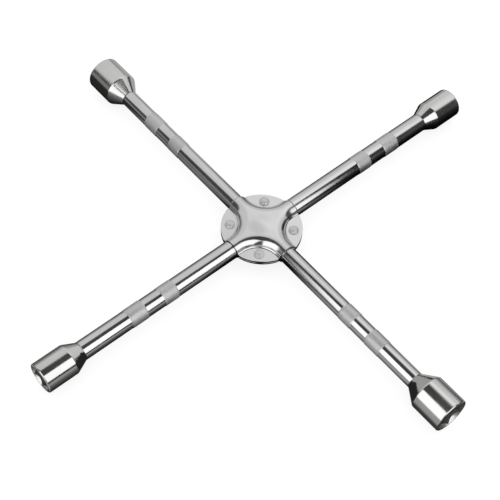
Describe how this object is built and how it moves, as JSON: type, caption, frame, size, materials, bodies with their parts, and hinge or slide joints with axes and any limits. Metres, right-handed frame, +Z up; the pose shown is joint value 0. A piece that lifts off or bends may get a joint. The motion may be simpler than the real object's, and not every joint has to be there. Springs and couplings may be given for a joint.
{
  "type": "lug wrench",
  "caption": "Cross-shaped wheel-nut wrench: crossed chromed bars with hex sockets at the ends and a riveted pressed-steel hub.",
  "frame": {"origin": "on the floor below the hub centre, with the wrench lying flat", "axes": "+Z up, square to the plane of the cross; X along the bar with the large sockets, Y along the bar with the small sockets"},
  "size_m": [0.45, 0.45, 0.0315],
  "materials": {
    "bar_chrome": "bright chrome plate with matte knurled grip bands",
    "socket_chrome": "satin-bright chrome plate",
    "plate_chrome": "bright chrome plate over pressed sheet",
    "rivet_steel": "plated steel, slightly dull"
  },
  "bodies": {
    "root": {"large_socket_bar": "bar_chrome", "small_socket_bar": "bar_chrome", "socket_17mm": "socket_chrome", "socket_19mm": "socket_chrome", "socket_21mm": "socket_chrome", "socket_23mm": "socket_chrome", "upper_plate": "plate_chrome", "lower_plate": "plate_chrome", "rivet_right": "rivet_steel", "rivet_back": "rivet_steel", "rivet_left": "rivet_steel", "rivet_front": "rivet_steel"}
  },
  "joints": []
}
